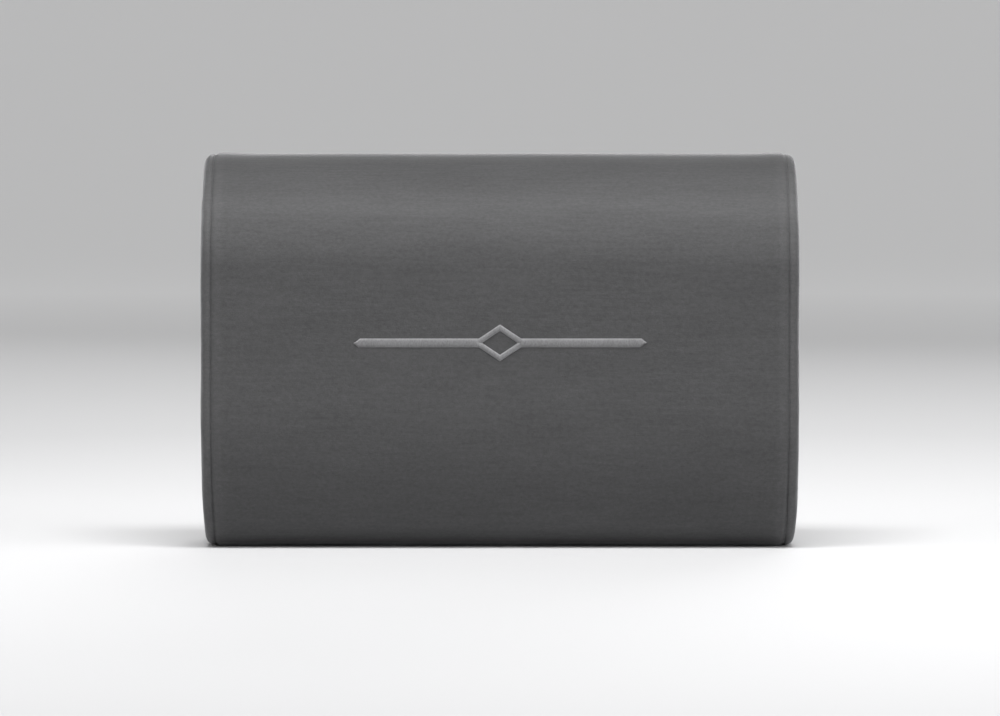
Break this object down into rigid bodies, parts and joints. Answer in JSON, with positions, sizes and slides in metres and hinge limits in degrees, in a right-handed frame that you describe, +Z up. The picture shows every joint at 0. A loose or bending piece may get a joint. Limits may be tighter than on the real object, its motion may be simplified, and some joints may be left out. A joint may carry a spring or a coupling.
{
  "type": "lumbar support cushion",
  "caption": "Upright block-shaped lower-back cushion with a slanted top edge: a zipped fabric cover over a foam core, with side straps that close in side-release buckles behind it.",
  "frame": {"origin": "on the flat base, in the middle of the whole object's width and of its depth from the front emblem to the buckles' rear faces", "axes": "+X along the cushion's width, to the right when it is seen from the front; -Y out of its front face; +Z up"},
  "size_m": [0.32, 0.1114, 0.21],
  "materials": {
    "velour": "matte",
    "lining": "matte",
    "foam": "matte",
    "zip_tape": "matte",
    "zip_coil": "satin",
    "zip_metal": "satin",
    "webbing": "matte",
    "buckle": "satin",
    "thread": "satin",
    "label": "matte"
  },
  "bodies": {
    "cushion": {"cover_front_panel": "velour", "cover_gusset_left": "velour", "cover_gusset_right": "velour", "cover_back_upper": "velour", "cover_back_lower": "velour", "inner_liner": "lining", "foam_core": "foam", "front_emblem": "thread", "care_label": "label", "zipper_tape_upper": "zip_tape", "zipper_tape_lower": "zip_tape", "zipper_coil_upper": "zip_coil", "zipper_coil_lower": "zip_coil", "zipper_top_stop_upper": "zip_metal", "zipper_top_stop_lower": "zip_metal", "zipper_bottom_stop": "zip_metal", "upper_strap_left": "webbing", "lower_strap_left": "webbing", "buckle_socket_left": "buckle", "upper_strap_right": "webbing", "lower_strap_right": "webbing", "buckle_socket_right": "buckle"},
    "zip_slider": {"zipper_slider": "zip_metal"},
    "zip_pull": {"zipper_pull_tab": "zip_metal"},
    "adjuster_left": {"strap_adjuster_left": "buckle"},
    "keeper_left": {"strap_keeper_left": "webbing"},
    "plug_left": {"buckle_plug_left": "buckle"},
    "arm_outer_left": {"buckle_arm_outer_left": "buckle"},
    "arm_inner_left": {"buckle_arm_inner_left": "buckle"},
    "adjuster_right": {"strap_adjuster_right": "buckle"},
    "keeper_right": {"strap_keeper_right": "webbing"},
    "plug_right": {"buckle_plug_right": "buckle"},
    "arm_outer_right": {"buckle_arm_outer_right": "buckle"},
    "arm_inner_right": {"buckle_arm_inner_right": "buckle"}
  },
  "joints": [
    {"name": "zip_slide", "type": "slide", "parent": "cushion", "child": "zip_slider", "axis": [-1, 0, 0], "range_m": [0, 0.196]},
    {"name": "pull_tab_swing", "type": "hinge", "parent": "zip_slider", "child": "zip_pull", "pos_m": [0.098, 0.04685, 0.052], "axis": [0, 0, -1], "range_deg": [0, 175]},
    {"name": "adjuster_slide_left", "type": "slide", "parent": "cushion", "child": "adjuster_left", "axis": [0, 0, 1], "range_m": [-0.014, 0.025], "deforming": ["upper_strap_left"]},
    {"name": "keeper_slide_left", "type": "slide", "parent": "cushion", "child": "keeper_left", "axis": [0, 0, 1], "range_m": [-0.02, 0]},
    {"name": "plug_release_left", "type": "slide", "parent": "cushion", "child": "plug_left", "axis": [0, 0, -1], "range_m": [0, 0.028], "deforming": ["lower_strap_left", "buckle_arm_outer_left", "buckle_arm_inner_left"]},
    {"name": "arm_squeeze_outer_left", "type": "hinge", "parent": "plug_left", "child": "arm_outer_left", "pos_m": [-0.1459, 0.0507, 0.0612], "axis": [0, 1, 0], "range_deg": [0, 12], "stiffness_Nm_per_rad": 0.06},
    {"name": "arm_squeeze_inner_left", "type": "hinge", "parent": "plug_left", "child": "arm_inner_left", "pos_m": [-0.1261, 0.0507, 0.0612], "axis": [0, -1, 0], "range_deg": [0, 12], "stiffness_Nm_per_rad": 0.06},
    {"name": "adjuster_slide_right", "type": "slide", "parent": "cushion", "child": "adjuster_right", "axis": [0, 0, 1], "range_m": [-0.014, 0.025], "deforming": ["upper_strap_right"]},
    {"name": "keeper_slide_right", "type": "slide", "parent": "cushion", "child": "keeper_right", "axis": [0, 0, 1], "range_m": [-0.02, 0]},
    {"name": "plug_release_right", "type": "slide", "parent": "cushion", "child": "plug_right", "axis": [0, 0, -1], "range_m": [0, 0.028], "deforming": ["lower_strap_right", "buckle_arm_outer_right", "buckle_arm_inner_right"]},
    {"name": "arm_squeeze_outer_right", "type": "hinge", "parent": "plug_right", "child": "arm_outer_right", "pos_m": [0.1459, 0.0507, 0.0612], "axis": [0, -1, 0], "range_deg": [0, 12], "stiffness_Nm_per_rad": 0.06},
    {"name": "arm_squeeze_inner_right", "type": "hinge", "parent": "plug_right", "child": "arm_inner_right", "pos_m": [0.1261, 0.0507, 0.0612], "axis": [0, 1, 0], "range_deg": [0, 12], "stiffness_Nm_per_rad": 0.06}
  ],
  "couplings": [
    {"joint": "arm_squeeze_inner_left", "follows": "arm_squeeze_outer_left", "ratio": 1},
    {"joint": "arm_squeeze_inner_right", "follows": "arm_squeeze_outer_right", "ratio": 1}
  ]
}
